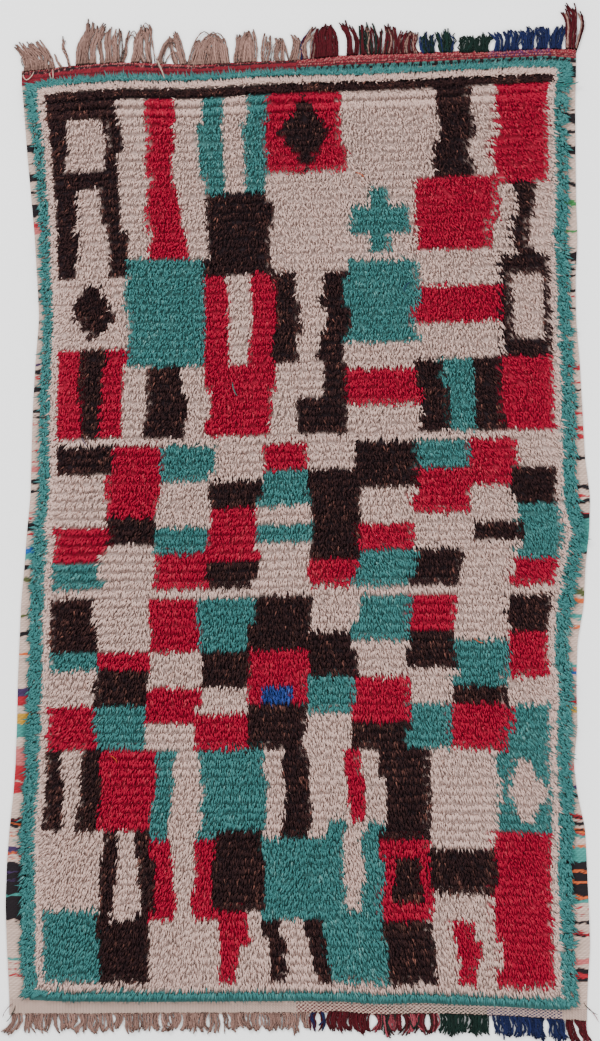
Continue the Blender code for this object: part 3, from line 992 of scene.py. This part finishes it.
def make_band(name, table, outward, colour_of):
    """A flat-woven end: picks run across the rug, and each float is raised, with painted shade
    where a pick passes under.
    """
    made, across, down = add_grid(name, BAND_COLUMNS, BAND_ROWS)
    end = 0.0 if outward > 0 else 1.0
    left, right, _, _ = outline_at(end)
    x = left + (right - left) * across / BAND_COLUMNS
    seam = read_column(table, "x", "seam", x) - outward * BAND_UNDER
    hem = read_column(table, "x", "hem", x)
    share = down / BAND_ROWS if outward > 0 else 1.0 - down / BAND_ROWS
    hem_wave = 0.0006 * np.sin(across * 0.37) + 0.0005 * np.sin(across * 0.113 + 1.0)
    y = hem + (seam - hem) * share + outward * hem_wave * (1.0 - share)
    over = (across // 2 + down) % 2
    # Where a pick passes under, painted shade darkens it; floats stand higher
    lift_and_shade = np.where(across % 2 == 0, over, 0.5)
    z = WEAVE_THICK - WEAVE_DIP + 0.0013 * lift_and_shade
    colours = colour_of(x, share, across, down)
    return finish_sheet(made, (x, y, z), colours, lift_and_shade, woven_wool(name + "_wool", 0.0003))


def top_band_colours(x, share, *_):
    """Red band, from the hem to the pile: pale flecks, a dark dotted line and ribbed red on
    the left; flecks, two thin lines and navy with teal dashes on the right."""
    red, deep, dark = linear((126, 26, 42)), linear((76, 12, 26)), linear((24, 14, 20))
    pale, purple, teal = linear((176, 108, 104)), linear((64, 32, 84)), linear((60, 116, 110))
    fleck = rng.uniform(size=len(x))
    wave = 0.025 * np.sin(x * 17.0) + 0.012 * np.sin(x * 51.0)

    def line(place, half=0.036):
        return np.abs(share - place - wave) < half

    right = x > -0.01
    colours = np.repeat(red[None, :], len(x), 0)
    colours[fleck > 0.86] = deep
    hem = share < np.where(right, 0.60, 0.13) + wave
    colours[hem & (fleck < 0.28)] = pale
    colours[hem & (x > 0.41) & (x < 0.55) & (fleck > 0.55)] = purple
    dotted = line(0.21, np.where(x < -0.5, 0.12, 0.07))
    colours[~right & dotted & (fleck < 0.80)] = dark
    colours[~right & dotted & (fleck > 0.93)] = pale
    colours[~right & line(0.58)] = deep
    colours[right & line(0.36)] = deep
    colours[right & line(0.54) & (fleck < 0.8)] = dark
    foot = right & (share > 0.66)
    colours[foot] = dark
    colours[foot & (share < 0.80) & (np.sin(x * 376.0) > -0.2)] = teal
    return colours * (1.0 + 0.12 * chance(len(x), 1))


def bottom_band_colours(x, _, across, down):
    """Cream band with fine upright lines; where the warps are dyed they show between the
    cream picks as a lattice of dots."""
    cream = linear((190, 164, 152))
    colours = np.repeat(cream[None, :], len(x), 0)
    colours[across % 4 == 0] *= 0.74
    colours[(x > -0.01) & (x < 0.575)] *= 1.25
    stretches = ((-0.01, 0.19, "d"), (0.19, 0.30, "dg"), (0.30, 0.41, "g"), (0.41, 0.575, "n"))
    for start, end, letters in stretches:
        dyes = np.array([linear(YARN[letter]) for letter in letters])
        inside = (x > start) & (x < end) & ((across // 3 + down // 2) % 2 == 0)
        inside &= rng.uniform(size=len(x)) < 0.95
        colours[inside] = dyes[rng.integers(len(letters), size=inside.sum())]
    return colours * (1.0 + 0.07 * chance(len(x), 1))


# The fringes

def fringe_locks(stretches, root_pinch):
    """Every lock of a fringe, drawn in the same order as the solids' locks. The frayed ones
    are pinched together at the root, a tassel at a time."""
    uneven = random.Random(FRINGE_SEED)
    locks = []
    for stretch in stretches:
        pitch = (stretch.end - stretch.start) / stretch.tassels
        width = pitch * (TASSEL_FILL if stretch.tassels > 1 else 1.0)
        for tassel in range(stretch.tassels):
            middle = stretch.start + pitch * (tassel + 0.5)
            lean = stretch.lean + uneven.uniform(-LEAN_UNEVEN, LEAN_UNEVEN)
            size = 1.0 + uneven.uniform(-LOCK_UNEVEN, LOCK_UNEVEN)
            for index in range(stretch.locks):
                share = (index + 0.5) / stretch.locks
                x = middle + width * (share - 0.5)
                length = stretch.length * size * (0.88 + 0.12 * np.sin(pi * share))
                length *= 1.0 + uneven.uniform(-LOCK_UNEVEN, LOCK_UNEVEN) / 2.0
                half_width = LOCK_FILL * width / stretch.locks / 2.0
                frayed = stretch.yarns[0] in "gn"
                pinch = root_pinch * frayed * (middle - x)
                turn = lean + stretch.gather * (middle - x) - 1.4 * pinch
                locks.append((x + pinch, half_width, length, turn, FRAYED * frayed, middle,
                              stretch.yarns))
    return locks


def lay_yarns(base, path_x, path_y, height, radius, twist):
    """Twisted yarns: an oval section turned round and round along each path, and how far
    each point stands above the middle of its yarn, from 0 to 1 and squared, which sets the
    painted shade on the yarns' sides and undersides."""
    step_x, step_y = np.gradient(path_x, axis=1), np.gradient(path_y, axis=1)
    size = np.hypot(step_x, step_y) + 1e-9
    step_x, step_y = step_x / size, step_y / size
    ring = np.searchsorted(np.unique(np.round(base[:, 2], 4)), np.round(base[:, 2], 4))
    turn = twist[0] * base[None, :, 2] + twist[1]
    wide, flat = base[None, :, 0], OVAL * base[None, :, 1]
    side = radius * (wide * np.cos(turn) - flat * np.sin(turn))
    rise = radius * (wide * np.sin(turn) + flat * np.cos(turn))
    x = path_x[:, ring] + step_y[:, ring] * side
    y = path_y[:, ring] - step_x[:, ring] * side
    z = np.maximum(height[:, ring] + rise, CLEARANCE)
    # Painted shade: the share falls on the yarn's sides and underside, squared to make dark lines
    # between yarns
    lift_and_shade = np.clip(0.5 + 0.5 * rise / radius, 0.0, 1.0) ** 2
    return placed(x, y, z), lift_and_shade


def uneven_rows(count, size):
    """A random number for each yarn."""
    return size * chance(count, 1)


def model_yarn(tip):
    """A yarn of unit length: its points, its faces, and how far along it each ring lies."""
    steps = [(k / YARN_RINGS, 1.0) for k in range(1, YARN_RINGS)] + [(1.0, tip)]
    base, faces = model_strand(YARN_SIDES, steps, False, False)
    return base, faces, np.linspace(0.0, 1.0, YARN_RINGS + 1)[None, :]


def join_yarns(name, base, faces, laid, colours, wool):
    """One piece from all the laid yarns, each in its own colour."""
    points, lift_and_shade = laid
    dye = np.repeat(with_alpha(colours)[:, None, :], len(base), 1)
    # The along attribute holds each point's painted-shade share
    values = {"dye": dye.reshape(-1, 4), "along": lift_and_shade.ravel()}
    return joined_mesh(name, points, faces, wool, values)


def plan_yarns(stretches, root_pinch):
    """The yarns of every lock, which bend alike within a tassel: columns of their measures,
    and their letters."""
    yarns = []
    letters = []
    last_middle = None
    for x, half, length, turn, fray, middle, choice in fringe_locks(stretches, root_pinch):
        if middle != last_middle:
            shared = chance(3)
            phase = rng.uniform(0.0, 2.0 * pi)
            last_middle = middle
        crowd = YARN_CROWD * max(1.0, length / LONG_LOCK) * (1.0 + 0.4 * fray)
        if choice[0] == "d":
            crowd *= DYED_CROWD
        count = max(2, int(round(2 * half / YARN_WIDTH * crowd)))
        own = 0.8 * shared + 0.5 * chance(3)
        bend = (0.0022 + 0.060 * length) * own[0]
        curl = (0.0015 + 0.085 * length) * own[1]
        wave = (0.0010 + 0.040 * length) * own[2]
        for k in range(count):
            side = half * ((k + 0.5) / count * 2 - 1)
            letters.append(choice[rng.integers(len(choice))])
            yarns.append((x, side, length, turn, fray, bend, curl, wave, phase))
    return [np.array(column)[:, None] for column in zip(*yarns)], letters


def lock_paths(table, stretches, outward, root_pinch, along):
    """Paths of the locks' yarns, fanned over each lock's width and lying on the floor."""
    measures, letters = plan_yarns(stretches, root_pinch)
    x, side, length, turn, fray, bend, curl, wave, phase = measures
    uneven = partial(uneven_rows, len(letters))
    length = length * (1.0 + uneven(0.08))
    path_x = x + side * (1.0 - (1.0 - LOCK_TIP_SHARE) * along * (1.0 - fray)) + turn * along ** 1.2
    path_x = path_x + (bend + uneven(0.0020)) * np.sin(pi * along) + curl * along ** 3
    path_x = path_x + (wave + uneven(0.0012)) * np.sin(2.6 * pi * along + phase) * along
    path_x = path_x + fray * uneven(0.0012) * np.sin(5 * pi * along + uneven(2.0))
    path_x = path_x + uneven(1.0) * (0.0026 + 0.0016 * fray) * along ** 2
    hem = read_column(table, "x", "hem", (x + side)[:, 0])[:, None]
    path_y = hem + outward * (-YARN_ROOT + (length + YARN_ROOT) * along)
    radius = YARN_WIDTH / 2 * (1.0 + uneven(0.12))
    layer = rng.uniform(0.0, 1.0, (len(letters), 1))
    height = radius + 0.0002 + 0.0024 * layer * (1.2 - 0.5 * along)
    height = height * np.minimum(along * YARN_RINGS, 1.0)
    height = height + 0.0008 * np.sin(pi * along * 2.0 + uneven(1.0)) ** 2
    return path_x, path_y, height, radius, letters


def arch_paths(table, arches, along):
    """Paths of the yarns that leave the hem and come back to it."""
    order = np.repeat(np.arange(len(arches)), [arch.count for arch in arches])
    shape = np.array([arch[:5] for arch in arches])[order]
    start, end, tall, lean, spread = (shape[:, k:k + 1] for k in range(5))
    uneven = partial(uneven_rows, len(order))
    start = start + spread * uneven(0.6)
    end = end + spread * uneven(0.6)
    tall = tall * (1.0 + uneven(0.10))
    rise = np.sin(pi * along) ** 0.7
    path_x = start + (end - start) * along + lean * rise
    path_y = read_column(table, "x", "hem", start[:, 0])[:, None] + tall * rise
    height = np.where(tall < 0, 0.0075, 0.0058) * (0.4 + 0.6 * rise)
    radius = np.full((len(order), 1), YARN_WIDTH * ARCH_WIDTH)
    return path_x, path_y, height, radius, [arches[k].yarn for k in order]


def make_fringe(name, table, stretches, arches, outward, root_pinch):
    """The twisted yarns of a fringe's locks and arches."""
    base, faces, along = model_yarn(YARN_TIP)
    *locks, lock_letters = lock_paths(table, stretches, outward, root_pinch, along)
    *bows, bow_letters = arch_paths(table, arches, along)
    path_x, path_y, height, radius = (np.concatenate(pair) for pair in zip(locks, bows))
    letters = lock_letters + bow_letters
    uneven = partial(uneven_rows, len(letters))
    twist = (2 * pi * YARN_TURNS * (1.0 + uneven(0.1)), uneven(2.0))
    laid = lay_yarns(base, path_x, path_y, height, radius, twist)
    colours = np.array([linear(YARN[letter]) for letter in letters])
    colours = np.clip(colours * (1.0 + uneven(0.20)), 0, 1)
    # Painted shade between the yarns, deeper than in the flat weaves
    wool = woven_wool(name + "_yarn", 0.0, YARN_SHADE)
    return join_yarns(name, base, faces, laid, colours, wool)


def make_strays():
    """Single long ends that lie loose over the pile and the edges."""
    base, faces, along = model_yarn(STRAY_TIP)
    table = np.array([stray[:7] for stray in STRAYS])
    x, y, reach_x, reach_y, bend, width, level = (table[:, k:k + 1] for k in range(7))
    size = np.hypot(reach_x, reach_y)
    sway = bend * np.sin(pi * along) + 0.1 * bend * np.sin(3 * pi * along)
    path_x = x + reach_x * along + reach_y / size * sway
    path_y = y + reach_y * along - reach_x / size * sway
    height = np.repeat(level, YARN_RINGS + 1, 1)
    twist = (np.full_like(x, 2 * pi * YARN_TURNS), uneven_rows(len(x), 2.0))
    points, lift_and_shade = lay_yarns(base, path_x, path_y, height, width / 2, twist)
    colours = np.array([linear(YARN[stray.yarn]) for stray in STRAYS])
    wool = woven_wool("stray_yarn", 0.0)
    # Painted shade on the yarns' sides and undersides, half as deep as its share would give
    return join_yarns("stray_ends", base, faces, (points, 0.5 + 0.5 * lift_and_shade), colours, wool)


# Floor, light and camera

def make_floor():
    bare_selection()
    bpy.ops.mesh.primitive_plane_add(size=40.0, location=(0.0, 0.0, -0.0005))
    floor = bpy.context.object
    floor.name = "floor"
    finish = Finish("pale_floor", Roughness=0.8, Base_Color=(0.93, 0.93, 0.93, 1.0))
    floor.data.materials.append(finish.material)


def add_light(name, location, size, energy):
    light = bpy.data.lights.new(name, "AREA")
    light.shape = "DISK"
    light.size = size
    light.energy = energy
    lamp = bpy.data.objects.new(name, light)
    lamp.location = location
    lamp.rotation_mode = "QUATERNION"
    lamp.rotation_quaternion = (-Vector(location)).to_track_quat("-Z", "Y")
    bpy.context.scene.collection.objects.link(lamp)


def make_studio():
    world = bpy.data.worlds.new("studio")
    bpy.context.scene.world = world
    world.use_nodes = True
    background = world.node_tree.nodes["Background"].inputs
    background["Color"].default_value = (1.0, 1.0, 1.0, 1.0)
    background["Strength"].default_value = 1.35
    add_light("key_light", (-2.2, 3.4, 4.2), 2.2, 320.0)
    add_light("fill_light", (2.8, -1.2, 4.5), 3.0, 150.0)


def add_camera():
    """Straight down, with the photo's frame around the rug."""
    camera = bpy.data.objects.new("camera", bpy.data.cameras.new("camera"))
    bpy.context.scene.collection.objects.link(camera)
    tall = PHOTO_HEIGHT * PIXEL
    camera.data.sensor_width = SENSOR_MM
    camera.data.lens = SENSOR_MM * CAMERA_HEIGHT / tall
    x = (PHOTO_WIDTH / 2 - CENTRE_PIXEL[0]) * PIXEL + SHIFT[0]
    y = (CENTRE_PIXEL[1] - PHOTO_HEIGHT / 2) * PIXEL + SHIFT[1]
    camera.location = (x, y, CAMERA_HEIGHT)
    bpy.context.scene.camera = camera


# Putting it together

add_camera()
pile = make_pile()
ground = make_ground()
top_weave = make_band("top_weave", TOP_BAND, 1.0, top_band_colours)
bottom_weave = make_band("bottom_weave", BOTTOM_BAND, -1.0, bottom_band_colours)
top_fringe = make_fringe("top_fringe", TOP_BAND, TOP_FRINGE, TOP_ARCHES, 1.0, ROOT_PINCH)
bottom_fringe = make_fringe("bottom_fringe", BOTTOM_BAND, BOTTOM_FRINGE, BOTTOM_ARCHES, -1.0,
                            0.0)
strays = make_strays()
for piece in (*pile, ground, strays):
    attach(piece, "root")
    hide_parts("pile_field")
for piece in (top_weave, top_fringe):
    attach(piece, "root")
    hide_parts("top_band")
for piece in (bottom_weave, bottom_fringe):
    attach(piece, "root")
    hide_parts("bottom_band")
make_floor()
make_studio()
